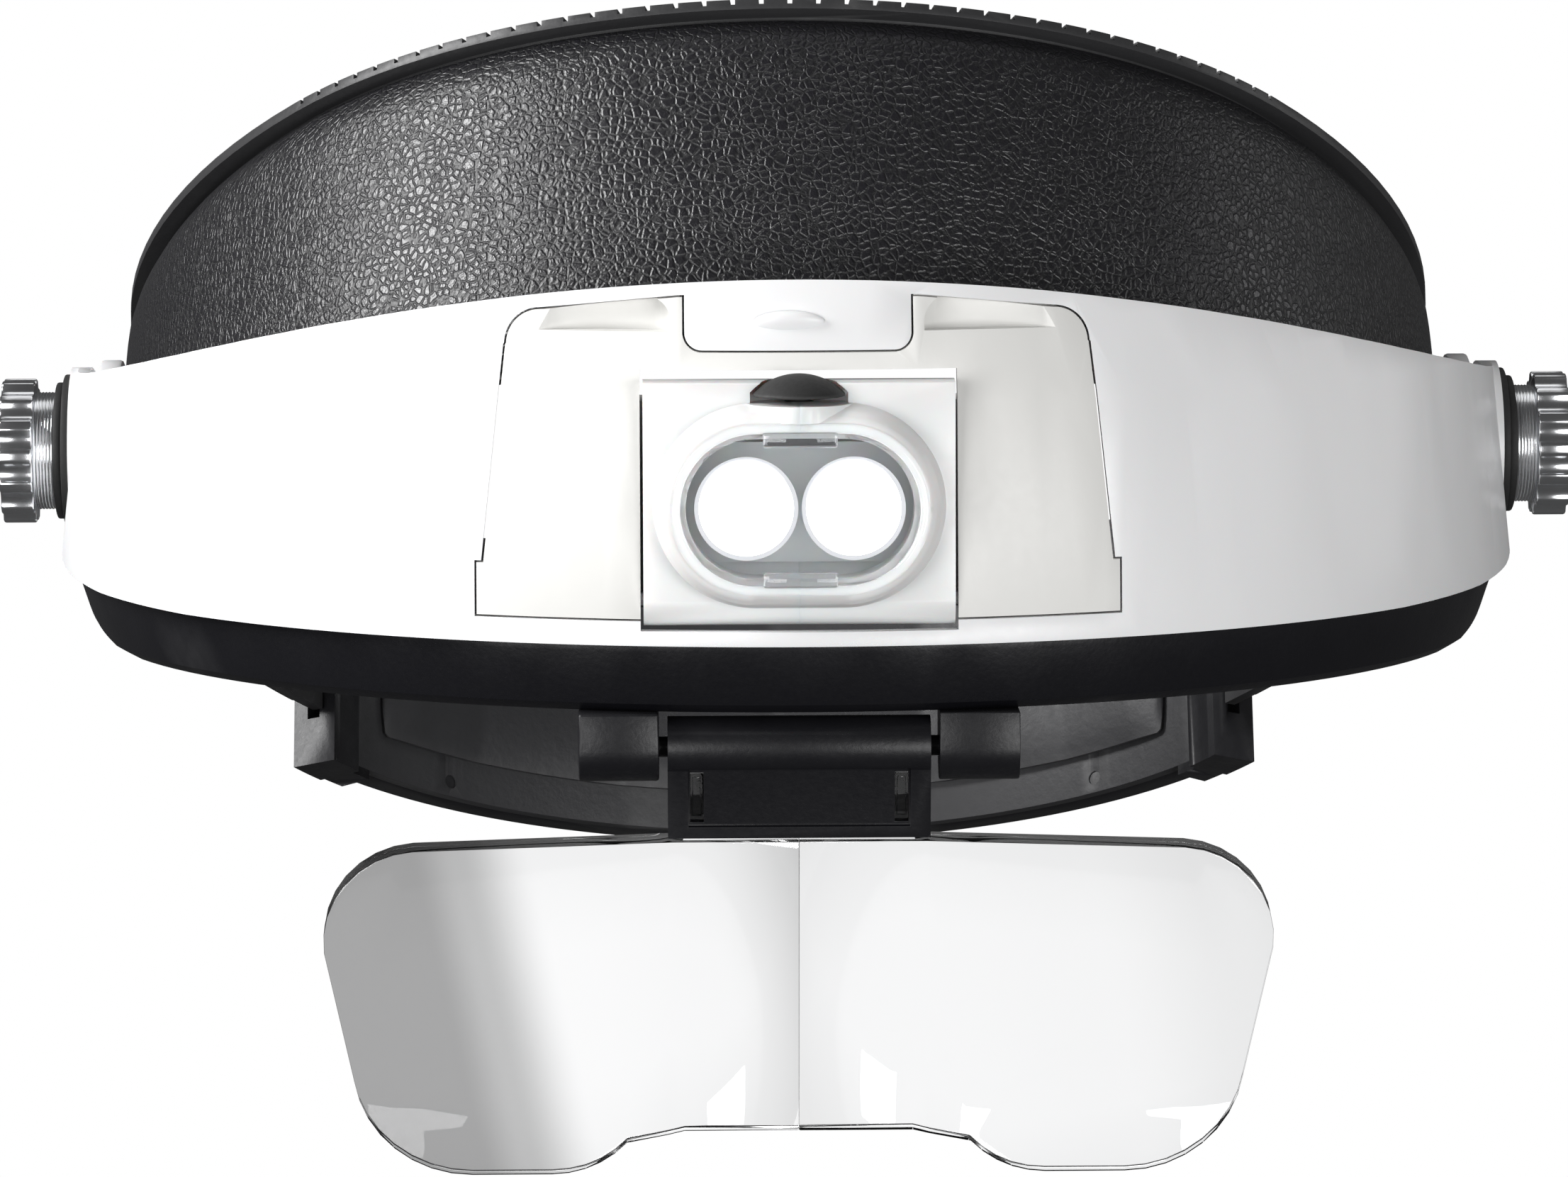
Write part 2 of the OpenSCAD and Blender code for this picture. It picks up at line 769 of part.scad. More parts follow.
module lamp_half(s) {
    color("#f2f2f0") in_visor() difference() {
        union() {
            across(lamp_w / 2) lamp_side(0);
            stadium_dome(dome_r, dome_h);
            translate([0, button_y, shelf_z - 9]) cylinder(r = button_r + 0.9, h = 9);
        }
        intersection() {
            across(lamp_w / 2 - lamp_wall) lamp_side(lamp_wall);
            translate([-30, -2 * visor_r, tip_z + 2]) cube([60, 2 * visor_r, shelf_z - 1.2 - tip_z - 2]);
        }
        ahead(lamp_back + 2, lamp_face + dome_h + 1) window_outline(window_r - 0.8);
        ahead(lamp_face + dome_h - 2, lamp_face + dome_h + 1) window_outline(window_r);
        translate([0, tip_y, tip_z]) axle_x(rod_r + run_gap, -30, 30);
        button_form(0.35);
        translate([0, button_y + 3, shelf_z - 4]) cylinder(r = 1.9, h = 9);
        translate([s < 0 ? 0 : -60, -2 * visor_r, -60]) cube([60, 2 * visor_r, 120]);
    }
}

module lamp_half_left() {
    lamp_half(-1);
}

module lamp_half_right() {
    lamp_half(1);
}

module lamp_window() {
    color([0.85, 0.9, 0.95, 0.4]) in_visor() {
        ahead(lamp_face + dome_h - 2, lamp_face + dome_h - 0.2) window_outline(window_r - 0.05);
    }
}

module in_led(s) {
    in_visor() translate([s * led_pitch / 2, 0, lamp_mid]) rotate([90, 0, 0]) children();
}

module reflector(s) {
    front = lamp_face + dome_h - 2.3;
    color("#e8e8ea") in_led(s) difference() {
        translate([0, 0, lamp_back + 3.2]) cylinder(r1 = 3.4, r2 = 6, h = front - lamp_back - 3.2);
        translate([0, 0, lamp_back + 3.1]) cylinder(r1 = 2.7, r2 = 5.5, h = front - lamp_back - 3);
    }
}

module reflector_left() {
    reflector(-1);
}

module reflector_right() {
    reflector(1);
}

module led(s) {
    color("#fff6c8") in_led(s) {
        translate([0, 0, lamp_back + 2.9]) cylinder(r = 2.5, h = 2.6);
        translate([0, 0, lamp_back + 5.5]) intersection() {
            sphere(r = 2.5);
            cylinder(r = 3, h = 3);
        }
    }
}

module led_left() {
    led(-1);
}

module led_right() {
    led(1);
}

module led_board() {
    color("#2f7d4f") in_visor() translate([-14, -lamp_back - 2.9, lamp_mid - 7]) cube([28, 1, 14]);
}

module power_switch() {
    base = lamp_mid + 7;
    color("#303234") in_visor() translate([0, button_y + 3, 0]) {
        translate([-3, -1.6, base]) cube([6, 3.4, shelf_z - 1.7 - base]);
        translate([0, 0, shelf_z - 2]) cylinder(r = 1, h = 0.8);
    }
}

module button_form(g) {
    rise = 2.6;
    cap_r = 7.4;
    translate([0, button_y, shelf_z]) intersection() {
        translate([0, 0, rise + (g > 0 ? 0.8 : 0) - cap_r]) sphere(r = cap_r + g);
        cylinder(r = button_r + g, h = 6);
    }
}

module power_button() {
    color("#141414") in_visor() {
        translate([0, 0, 0.8]) button_form(0);
        translate([0, button_y + 3, shelf_z - 0.4]) cylinder(r = 1.5, h = 2);
    }
}

// The holder: a barrel on the hinge pin and a sleeve for the lens plate's tongue
module lens_holder() {
    low = -hinge_r - holder_drop;
    color("#121213") in_lens() difference() {
        union() {
            axle_x(hinge_r, -holder_half, holder_half);
            translate([-holder_half, -holder_t / 2, low])
                cube([2 * holder_half, holder_t, holder_drop + hinge_r]);
        }
        axle_x(pin_r + run_gap, -30, 30);
        translate([-tongue_half - slide_gap, -tongue_t / 2 - 0.2, low - 1])
            cube([2 * (tongue_half + slide_gap), tongue_t + 0.4, tongue_h + 1.4]);
        translate([-13, -holder_t, low + 1.4]) cube([26, holder_t / 2 + 0.6, 7.2]);
        for (s = [-1, 1]) translate([s * 12 - 0.8, -holder_t, low + 1.8]) cube([1.6, holder_t, 6.2]);
    }
}

function arc_points(cx, cy, r, a0, a1, n) =
    [for (i = [0:n]) [cx + r * cos(a0 + (a1 - a0) * i / n), cy + r * sin(a0 + (a1 - a0) * i / n)]];

// Right half of the lens plate, below its tongue. The lower edge has a lobe on the outside.
module lens_outline() {
    w = lens_w / 2;
    notch = -0.87 * lens_h;
    polygon(concat([[0, notch], [0, 0], [15, 0]],
        arc_points(w - 11.5, -12.5, 11.5, 86, -6, 8),
        arc_points(w - 17.2, 14 - lens_h, 14, -8, -90, 8),
        arc_points(w - 26.7, 12 - lens_h, 12, -90, -138, 5),
        [[15.6, notch - 0.5], [13.6, notch]]));
}

module lens_half(s) {
    top = -hinge_r - holder_drop - lens_drop;
    color([0.85, 0.92, 0.95, 0.45]) in_lens() mirror([s < 0 ? 1 : 0, 0, 0]) {
        translate([0, lens_t / 2, top]) rotate([90, 0, 0]) linear_extrude(lens_t) lens_outline();
        translate([0, -tongue_t / 2, top - 2]) cube([tongue_half, tongue_t, tongue_h + 2 + lens_drop - 0.2]);
        translate([11.5, -tongue_t / 2 - 0.15, top + lens_drop + 2.2]) cube([1, tongue_t / 2, 4.8]);
    }
}

module lens_left() {
    lens_half(-1);
}

module lens_right() {
    lens_half(1);
}

band_frame();
band_cover();
forehead_pad();
rear_cradle_outer();
rear_cradle_inner();
rear_pad();
cradle_clip_left();
cradle_clip_right();
cradle_screws();
size_strap_left();
size_strap_right();
size_pinion();
size_knob();
pivot_bracket_left();
pivot_bracket_right();
pivot_bolt_left();
pivot_bolt_right();
inner_washers();
outer_washers();
thumb_nut_left();
thumb_nut_right();
visor_shell();
visor_skirt();
skirt_screws();
lens_ear_left();
lens_ear_right();
lens_hinge_pin();
light_cover();
battery_tray();
battery_cells();
contact_springs();
contact_plates();
lamp_pivot_rod();
lamp_half_left();
lamp_half_right();
lamp_window();
reflector_left();
reflector_right();
led_left();
led_right();
led_board();
power_switch();
power_button();
lens_holder();
lens_left();
lens_right();
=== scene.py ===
# %% [markdown]
# # A head visor magnifier
# The object is worn on the head. A padded band goes round the head, a white visor tilts on two
# thumb nuts at the temples, a lamp unit sits in the middle of the visor, and a clear lens plate
# flips up below it. The hard pieces were drawn in CAD, and they come in here as a fixed frame.
# This lesson gives them their edges and finishes, and makes the soft pieces.
# %% Load the CAD frame
import math

import bmesh
import bpy
from mathutils import Matrix, Vector


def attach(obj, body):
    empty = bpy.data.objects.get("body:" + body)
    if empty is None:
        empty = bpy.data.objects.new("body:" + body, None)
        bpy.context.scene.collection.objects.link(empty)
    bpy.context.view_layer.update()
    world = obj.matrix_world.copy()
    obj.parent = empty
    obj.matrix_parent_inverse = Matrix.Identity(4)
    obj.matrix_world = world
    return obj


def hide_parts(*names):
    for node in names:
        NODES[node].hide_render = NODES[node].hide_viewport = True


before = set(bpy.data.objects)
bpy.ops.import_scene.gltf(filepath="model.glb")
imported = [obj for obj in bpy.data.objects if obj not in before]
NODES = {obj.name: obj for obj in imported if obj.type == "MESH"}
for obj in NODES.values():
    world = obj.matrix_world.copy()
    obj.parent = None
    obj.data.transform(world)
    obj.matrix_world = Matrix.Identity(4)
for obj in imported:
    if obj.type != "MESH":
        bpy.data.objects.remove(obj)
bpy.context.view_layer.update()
MM = 0.001

# %% [markdown]
# ## Camera
# The view is straight on from the front, about a metre away with a long lens, so that the visor's
# two ends look nearly the same. Depth of field stays off.
# %% Camera
FOCAL_LENGTH = 171.3
CAMERA_PLACE = (-0.0166, -1.0, 0.0)
CAMERA_TARGET = (0.0005, 0.0, -0.0169)
CAMERA_ROLL = -0.3


def look_from(place, target, roll):
    cam_data = bpy.data.cameras.new("front_camera")
    cam = bpy.data.objects.new("front_camera", cam_data)
    bpy.context.scene.collection.objects.link(cam)
    aim = (Vector(target) - Vector(place)).to_track_quat("-Z", "Y").to_matrix().to_4x4()
    cam.matrix_world = Matrix.Translation(place) @ aim @ Matrix.Rotation(math.radians(roll), 4, "Z")
    cam_data.sensor_width = 36
    cam_data.lens = FOCAL_LENGTH
    cam_data.clip_start = 0.05
    bpy.context.scene.camera = cam
    return cam


camera = look_from(CAMERA_PLACE, CAMERA_TARGET, CAMERA_ROLL)
print("camera at", [round(v, 3) for v in camera.matrix_world.translation])

# %% [markdown]
# ## Frames of the moving parts
# The band leans, and the visor is pitched a little about its thumb nuts. A matrix for each lets a
# piece be made upright and then put in its place.
# %% Frames
BAND_LEAN = math.radians(-21)
VISOR_PITCH = math.radians(5.5)
THUMB_NUTS = (0, -0.046, 0.002)
IN_BAND = Matrix.Rotation(BAND_LEAN, 4, "X")
IN_VISOR = Matrix.Translation(THUMB_NUTS) @ Matrix.Rotation(VISOR_PITCH, 4, "X")

# %% [markdown]
# ## Small helpers
# Operators act on whatever is selected, so each step first clears the selection and makes one object
# active. Finished pieces keep their object at the origin, with their place in the mesh.
# %% Helpers
def only(obj):
    if bpy.context.object and bpy.context.object.mode != "OBJECT":
        bpy.ops.object.mode_set(mode="OBJECT")
    bpy.ops.object.select_all(action="DESELECT")
    obj.select_set(True)
    bpy.context.view_layer.objects.active = obj


def edit(obj):
    only(obj)
    bpy.ops.object.mode_set(mode="EDIT")
    bpy.ops.mesh.select_all(action="SELECT")


def done():
    bpy.ops.object.mode_set(mode="OBJECT")


def settle(obj, matrix=None):
    # Puts the object's place into its mesh
    only(obj)
    bpy.ops.object.transform_apply(location=True, rotation=True, scale=True)
    if matrix is not None:
        obj.data.transform(matrix)
    return obj


def apply_modifier(obj, kind, **values):
    only(obj)
    mod = obj.modifiers.new(kind.title(), kind)
    for key, value in values.items():
        setattr(mod, key, value)
    bpy.ops.object.modifier_apply(modifier=mod.name)


def smooth(obj, angle=35):
    only(obj)
    bpy.ops.object.shade_smooth_by_angle(angle=math.radians(angle))


def paint(obj, material):
    obj.data.materials.clear()
    obj.data.materials.append(material)


def finish_piece(obj, name, body, material, slot, *replaced):
    obj.name = name
    obj.data.name = name
    paint(obj, material)
    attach(obj, body)
    if replaced:
        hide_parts(*replaced)
    return obj

# %% [markdown]
# ## Shared effects
# Moulded plastic, rubber and leatherette all have a fine grain, and the plastic and rubber are painted a
# little lighter on their outside edges, for rubbed wear and a painted highlight. Each effect is a node group
# that is built once.
# %% Node helpers
def add(tree, kind, **values):
    node = tree.nodes.new(kind)
    for key, value in values.items():
        if key.startswith("in_"):
            wanted = key[3:].replace("_", " ")
            socket = next(s for s in node.inputs if s.name.lower() == wanted.lower())
            socket.default_value = value
        else:
            setattr(node, key, value)
    return node


def group(name, inputs, outputs):
    tree = bpy.data.node_groups.new(name, "ShaderNodeTree")
    for label, value in inputs:
        socket = tree.interface.new_socket(name=label, in_out="INPUT", socket_type="NodeSocketFloat")
        socket.default_value = value
    for label, kind in outputs:
        tree.interface.new_socket(name=label, in_out="OUTPUT", socket_type=kind)
    return tree, tree.nodes.new("NodeGroupInput"), tree.nodes.new("NodeGroupOutput")


def use(mat_tree, tree, **values):
    node = mat_tree.nodes.new("ShaderNodeGroup")
    node.node_tree = tree
    for key, value in values.items():
        node.inputs[key.replace("_", " ")].default_value = value
    return node

# %% Moulded grain: a very fine pebble from the mould, with slow unevenness
moulded, g_in, g_out = group("moulded_grain", [("Scale", 900.0), ("Unevenness", 0.3)],
                             [("Height", "NodeSocketFloat"), ("Mask", "NodeSocketFloat")])
co = add(moulded, "ShaderNodeTexCoord")
fine = add(moulded, "ShaderNodeTexNoise", in_detail=3.0, in_roughness=0.6)
slow = add(moulded, "ShaderNodeTexNoise", in_scale=18.0, in_detail=2.0)
mix = add(moulded, "ShaderNodeMath", operation="MULTIPLY_ADD")
moulded.links.new(co.outputs["Object"], fine.inputs["Vector"])
moulded.links.new(co.outputs["Object"], slow.inputs["Vector"])
moulded.links.new(g_in.outputs["Scale"], fine.inputs["Scale"])
moulded.links.new(slow.outputs["Fac"], mix.inputs[0])
moulded.links.new(g_in.outputs["Unevenness"], mix.inputs[1])
moulded.links.new(fine.outputs["Fac"], mix.inputs[2])
moulded.links.new(mix.outputs[0], g_out.inputs["Height"])
moulded.links.new(slow.outputs["Fac"], g_out.inputs["Mask"])

# %% Edge wear and painted sheen: picks out the outside edges, broken up by a noise, where the finishes paint a lighter colour for rubbed wear and a painted highlight
wear_and_sheen_group, w_in, w_out = group("edge_wear_and_sheen", [("Amount", 1.0), ("Breakup", 250.0)],
                          [("Mask", "NodeSocketFloat")])
geo = add(wear_and_sheen_group, "ShaderNodeNewGeometry")
edge = add(wear_and_sheen_group, "ShaderNodeMapRange", in_From_Min=0.52, in_From_Max=0.62)
spots = add(wear_and_sheen_group, "ShaderNodeTexNoise", in_detail=4.0)
co = add(wear_and_sheen_group, "ShaderNodeTexCoord")
both = add(wear_and_sheen_group, "ShaderNodeMath", operation="MULTIPLY")
last = add(wear_and_sheen_group, "ShaderNodeMath", operation="MULTIPLY", use_clamp=True)
wear_and_sheen_group.links.new(geo.outputs["Pointiness"], edge.inputs["Value"])
wear_and_sheen_group.links.new(co.outputs["Object"], spots.inputs["Vector"])
wear_and_sheen_group.links.new(w_in.outputs["Breakup"], spots.inputs["Scale"])
wear_and_sheen_group.links.new(edge.outputs["Result"], both.inputs[0])
wear_and_sheen_group.links.new(spots.outputs["Fac"], both.inputs[1])
wear_and_sheen_group.links.new(both.outputs[0], last.inputs[0])
wear_and_sheen_group.links.new(w_in.outputs["Amount"], last.inputs[1])
wear_and_sheen_group.links.new(last.outputs[0], w_out.inputs["Mask"])

# %% Leatherette grain: flat-topped pebbles with fine creases between them, pulled out of shape
pebble, p_in, p_out = group("pebble_grain", [("Scale", 980.0)],
                            [("Height", "NodeSocketFloat"), ("Crease", "NodeSocketFloat")])
co = add(pebble, "ShaderNodeTexCoord")
warp = add(pebble, "ShaderNodeTexNoise", in_scale=260.0, in_detail=3.0)
warp_size = add(pebble, "ShaderNodeVectorMath", operation="SCALE")
warp_size.inputs["Scale"].default_value = 0.0016
shift = add(pebble, "ShaderNodeVectorMath", operation="ADD")
cells = add(pebble, "ShaderNodeTexVoronoi", feature="DISTANCE_TO_EDGE")
small = add(pebble, "ShaderNodeTexVoronoi", feature="DISTANCE_TO_EDGE", in_scale=2300.0)
top = add(pebble, "ShaderNodeMapRange", interpolation_type="SMOOTHSTEP", in_From_Min=0.0, in_From_Max=0.22)
top2 = add(pebble, "ShaderNodeMapRange", interpolation_type="SMOOTHSTEP", in_From_Min=0.0, in_From_Max=0.3)
fade = add(pebble, "ShaderNodeTexNoise", in_scale=60.0, in_detail=2.0)
part = add(pebble, "ShaderNodeMath", operation="MULTIPLY")
both = add(pebble, "ShaderNodeMath", operation="MULTIPLY_ADD")
both.inputs[1].default_value = 0.45
flip = add(pebble, "ShaderNodeMath", operation="SUBTRACT")
flip.inputs[0].default_value = 1.0
for a, b in ((co.outputs["Object"], warp.inputs["Vector"]), (warp.outputs["Color"], warp_size.inputs[0]),
             (co.outputs["Object"], shift.inputs[0]), (warp_size.outputs[0], shift.inputs[1]),
             (shift.outputs[0], cells.inputs["Vector"]), (shift.outputs[0], small.inputs["Vector"]),
             (p_in.outputs["Scale"], cells.inputs["Scale"]), (cells.outputs["Distance"], top.inputs["Value"]),
             (small.outputs["Distance"], top2.inputs["Value"]), (co.outputs["Object"], fade.inputs["Vector"]),
             (top2.outputs["Result"], part.inputs[0]), (fade.outputs["Fac"], part.inputs[1]),
             (part.outputs[0], both.inputs[0]), (top.outputs["Result"], both.inputs[2]),
             (both.outputs[0], p_out.inputs["Height"]), (top.outputs["Result"], flip.inputs[1]),
             (flip.outputs[0], p_out.inputs["Crease"])):
    pebble.links.new(a, b)

# %% Knitted face of the foam pads
knit, k_in, k_out = group("knit_weave", [("Scale", 1100.0)],
                          [("Height", "NodeSocketFloat"), ("Shade", "NodeSocketFloat")])
co = add(knit, "ShaderNodeTexCoord")
ribs = add(knit, "ShaderNodeTexWave", wave_type="BANDS", bands_direction="DIAGONAL", in_distortion=1.5)
rows = add(knit, "ShaderNodeTexWave", wave_type="BANDS", bands_direction="Z", in_distortion=1.0)
cross = add(knit, "ShaderNodeMath", operation="MULTIPLY")
for a, b in ((co.outputs["Object"], ribs.inputs["Vector"]), (co.outputs["Object"], rows.inputs["Vector"]),
             (k_in.outputs["Scale"], ribs.inputs["Scale"]), (k_in.outputs["Scale"], rows.inputs["Scale"]),
             (ribs.outputs["Fac"], cross.inputs[0]), (rows.outputs["Fac"], cross.inputs[1]),
             (cross.outputs[0], k_out.inputs["Height"]), (rows.outputs["Fac"], k_out.inputs["Shade"])):
    knit.links.new(a, b)
print("shared effects:", [g.name for g in bpy.data.node_groups])

# %% [markdown]
# ## Finishes
# Each finish is a Principled shader with a colour that varies a little, a roughness that varies with
# the grain, and a small bump. The plain numbers sit on the shader itself.
# %% Finishes for moulded plastic
def mix_colour(tree, low, high):
    node = add(tree, "ShaderNodeMix", data_type="RGBA")
    node.inputs["A"].default_value = (*low, 1)
    node.inputs["B"].default_value = (*high, 1)
    return node


def sock(node, label):
    return next(s for s in node.inputs if s.name == label and s.enabled)


def new_finish(name):
    mat = bpy.data.materials.new(name)
    mat.use_nodes = True
    tree = mat.node_tree
    return mat, tree, tree.nodes["Principled BSDF"]


def plastic(name, low, high, rough=(0.3, 0.45), scale=900.0, bump=0.00002, wear_and_sheen_colour=(1, 1, 1), wear_and_sheen_amount=0.0,
            **shader):
    mat, tree, bsdf = new_finish(name)
    grain = use(tree, moulded, Scale=scale)
    colour = mix_colour(tree, low, high)
    tree.links.new(grain.outputs["Mask"], sock(colour, "Factor"))
    # Rubbed wear and painted highlight: the outside edges are painted toward a lighter colour
    edges = use(tree, wear_and_sheen_group, Amount=wear_and_sheen_amount)
    wear_and_sheen_mix = add(tree, "ShaderNodeMix", data_type="RGBA")
    sock(wear_and_sheen_mix, "B").default_value = (*wear_and_sheen_colour, 1)
    tree.links.new(edges.outputs["Mask"], sock(wear_and_sheen_mix, "Factor"))
    tree.links.new(colour.outputs[2], sock(wear_and_sheen_mix, "A"))
    tree.links.new(wear_and_sheen_mix.outputs[2], bsdf.inputs["Base Color"])
    ramp = add(tree, "ShaderNodeMapRange", in_To_Min=rough[0], in_To_Max=rough[1])
    tree.links.new(grain.outputs["Height"], ramp.inputs["Value"])
    tree.links.new(ramp.outputs["Result"], bsdf.inputs["Roughness"])
    lift = add(tree, "ShaderNodeBump", in_strength=1.0, in_distance=bump)
    tree.links.new(grain.outputs["Height"], lift.inputs["Height"])
    tree.links.new(lift.outputs["Normal"], bsdf.inputs["Normal"])
    for key, value in shader.items():
        bsdf.inputs[key.replace("_", " ")].default_value = value
    return mat


WHITE = plastic("white_shell_plastic", (0.80, 0.80, 0.81), (0.84, 0.84, 0.845), rough=(0.28, 0.42),
                bump=0.000012, wear_and_sheen_colour=(0.9, 0.9, 0.9), wear_and_sheen_amount=0.4, Subsurface_Weight=0.05,
                Subsurface_Scale=0.002)
WARM = plastic("warm_white_plastic", (0.73, 0.725, 0.70), (0.765, 0.76, 0.74), rough=(0.34, 0.5),
               bump=0.000014, wear_and_sheen_colour=(0.84, 0.84, 0.82), wear_and_sheen_amount=0.4)
LAMP_WHITE = plastic("lamp_white_plastic", (0.77, 0.77, 0.765), (0.81, 0.81, 0.81), rough=(0.22, 0.36),
                     bump=0.00001, wear_and_sheen_amount=0.3, Subsurface_Weight=0.2, Subsurface_Scale=0.004)
SATIN_BLACK = plastic("satin_black_plastic", (0.004, 0.004, 0.0055), (0.007, 0.007, 0.009), rough=(0.3, 0.44),
                      bump=0.00003, scale=1400, wear_and_sheen_colour=(0.04, 0.04, 0.042), wear_and_sheen_amount=0.6,
                      Specular_IOR_Level=0.32)
MOTTLED_BLACK = plastic("mottled_black_plastic", (0.010, 0.010, 0.012), (0.045, 0.045, 0.048),
                        rough=(0.42, 0.62), bump=0.00008, scale=700, wear_and_sheen_colour=(0.1, 0.1, 0.1), wear_and_sheen_amount=0.5)
BEAD_BLACK = plastic("bead_black_plastic", (0.02, 0.02, 0.021), (0.035, 0.035, 0.037), rough=(0.35, 0.5),
                     bump=0.00003, scale=1200, wear_and_sheen_colour=(0.12, 0.12, 0.12), wear_and_sheen_amount=0.5)
RUBBER = plastic("black_rubber", (0.008, 0.008, 0.008), (0.02, 0.02, 0.02), rough=(0.55, 0.75),
                 bump=0.00004, scale=1600, wear_and_sheen_colour=(0.06, 0.06, 0.06), wear_and_sheen_amount=0.4)
CELL_WRAP = plastic("cell_wrap", (0.05, 0.09, 0.16), (0.07, 0.12, 0.2), rough=(0.2, 0.3))

# %% Finishes for metal
def metal(name, colour, rough, brushed=0.0):
    mat, tree, bsdf = new_finish(name)
    bsdf.inputs["Metallic"].default_value = 1.0
    tint = mix_colour(tree, colour, tuple(min(1, c * 1.12) for c in colour))
    co = add(tree, "ShaderNodeTexCoord")
    stretch = add(tree, "ShaderNodeMapping")
    stretch.inputs["Scale"].default_value = (0.06 if brushed else 1.0, 1.0, 1.0)
    lines = add(tree, "ShaderNodeTexNoise", in_scale=400.0, in_detail=4.0)
    smudge = add(tree, "ShaderNodeTexNoise", in_scale=90.0, in_detail=3.0)
    ramp = add(tree, "ShaderNodeMapRange", in_To_Min=rough[0], in_To_Max=rough[1])
    lift = add(tree, "ShaderNodeBump", in_strength=0.5, in_distance=0.00001 + brushed)
    for a, b in ((co.outputs["Object"], stretch.inputs["Vector"]),
                 (stretch.outputs[0], lines.inputs["Vector"]),
                 (co.outputs["Object"], smudge.inputs["Vector"]),
                 (smudge.outputs["Fac"], sock(tint, "Factor")),
                 (tint.outputs[2], bsdf.inputs["Base Color"]),
                 (smudge.outputs["Fac"], ramp.inputs["Value"]),
                 (ramp.outputs["Result"], bsdf.inputs["Roughness"]),
                 (lines.outputs["Fac"], lift.inputs["Height"]),
                 (lift.outputs["Normal"], bsdf.inputs["Normal"])):
        tree.links.new(a, b)
    return mat


NICKEL = metal("nickel_plate", (0.8, 0.81, 0.83), (0.14, 0.3))
STEEL = metal("turned_steel", (0.5, 0.5, 0.51), (0.2, 0.38), brushed=0.00002)
MIRROR = metal("silvered_cup", (0.85, 0.85, 0.87), (0.04, 0.1))

# %% Clear acrylic: the lens plate and the lamp's window
def acrylic(name, tint, rough):
    mat, tree, bsdf = new_finish(name)
    bsdf.inputs["Transmission Weight"].default_value = 1.0
    bsdf.inputs["IOR"].default_value = 1.49
    co = add(tree, "ShaderNodeTexCoord")
    haze = add(tree, "ShaderNodeTexNoise", in_scale=35.0, in_detail=4.0)
    hairs = add(tree, "ShaderNodeTexNoise", in_scale=900.0, in_detail=2.0)
    colour = mix_colour(tree, tint, tuple(min(1, c * 1.01) for c in tint))
    ramp = add(tree, "ShaderNodeMapRange", in_From_Min=0.35, in_From_Max=0.75, in_To_Min=rough[0],
               in_To_Max=rough[1])
    lift = add(tree, "ShaderNodeBump", in_strength=0.2, in_distance=0.000002)
    for a, b in ((co.outputs["Object"], haze.inputs["Vector"]),
                 (co.outputs["Object"], hairs.inputs["Vector"]),
                 (haze.outputs["Fac"], sock(colour, "Factor")),
                 (colour.outputs[2], bsdf.inputs["Base Color"]),
                 (haze.outputs["Fac"], ramp.inputs["Value"]),
                 (ramp.outputs["Result"], bsdf.inputs["Roughness"]),
                 (hairs.outputs["Fac"], lift.inputs["Height"]),
                 (lift.outputs["Normal"], bsdf.inputs["Normal"])):
        tree.links.new(a, b)
    return mat


# %% The lens plate: painted shade in its colour darkens it softly from side to side, towards its thick ends and its middle joint, and on its edge faces
LENS_HALF_WIDTH = 0.056


def lens_with_painted_shade(name, stops):
    # stops are (place, painted shade) pairs, with place 0 at the left end of the plate and 1 at the right
    mat = acrylic(name, (0.99, 0.995, 0.995), (0.0, 0.01))
    tree = mat.node_tree
    bsdf = tree.nodes["Principled BSDF"]
    old = bsdf.inputs["Base Color"].links[0].from_socket
    co = add(tree, "ShaderNodeTexCoord")
    parts = add(tree, "ShaderNodeSeparateXYZ")
    drift = add(tree, "ShaderNodeMath", operation="MULTIPLY_ADD")
    drift.inputs[1].default_value = 0.22
    along = add(tree, "ShaderNodeMapRange", in_From_Min=-LENS_HALF_WIDTH,
                in_From_Max=LENS_HALF_WIDTH)
    # Painted shade: the plate's colour is darkened along it by these stops
    ramp = add(tree, "ShaderNodeValToRGB")
    ramp.color_ramp.interpolation = "EASE"
    while len(ramp.color_ramp.elements) < len(stops):
        ramp.color_ramp.elements.new(0.5)
    for element, (place, shade) in zip(ramp.color_ramp.elements, stops):
        element.position = place
        element.color = (shade, shade, shade * 1.004, 1)
    # Painted shade: faces that turn away from the front, the plate's edge faces, are painted darker
    facing = add(tree, "ShaderNodeSeparateXYZ")
    flat = add(tree, "ShaderNodeMath", operation="ABSOLUTE")
    edge = add(tree, "ShaderNodeMapRange", in_From_Min=0.5, in_From_Max=0.93, in_To_Min=0.12)
    rim = add(tree, "ShaderNodeMix", data_type="RGBA", blend_type="MULTIPLY")
    both = add(tree, "ShaderNodeMix", data_type="RGBA", blend_type="MULTIPLY")
    sock(rim, "Factor").default_value = 1.0
    sock(both, "Factor").default_value = 1.0
    for a, b in ((co.outputs["Normal"], facing.inputs[0]), (facing.outputs["Y"], flat.inputs[0]),
                 (flat.outputs[0], edge.inputs["Value"]), (edge.outputs["Result"], sock(rim, "B")),
                 (both.outputs[2], sock(rim, "A")), (rim.outputs[2], bsdf.inputs["Base Color"]),
                 (co.outputs["Object"], parts.inputs[0]), (parts.outputs["Z"], drift.inputs[0]),
                 (parts.outputs["X"], drift.inputs[2]), (drift.outputs[0], along.inputs["Value"]),
                 (along.outputs["Result"], ramp.inputs["Fac"]), (old, sock(both, "A")),
                 (ramp.outputs["Color"], sock(both, "B"))):
        tree.links.new(a, b)
    return mat


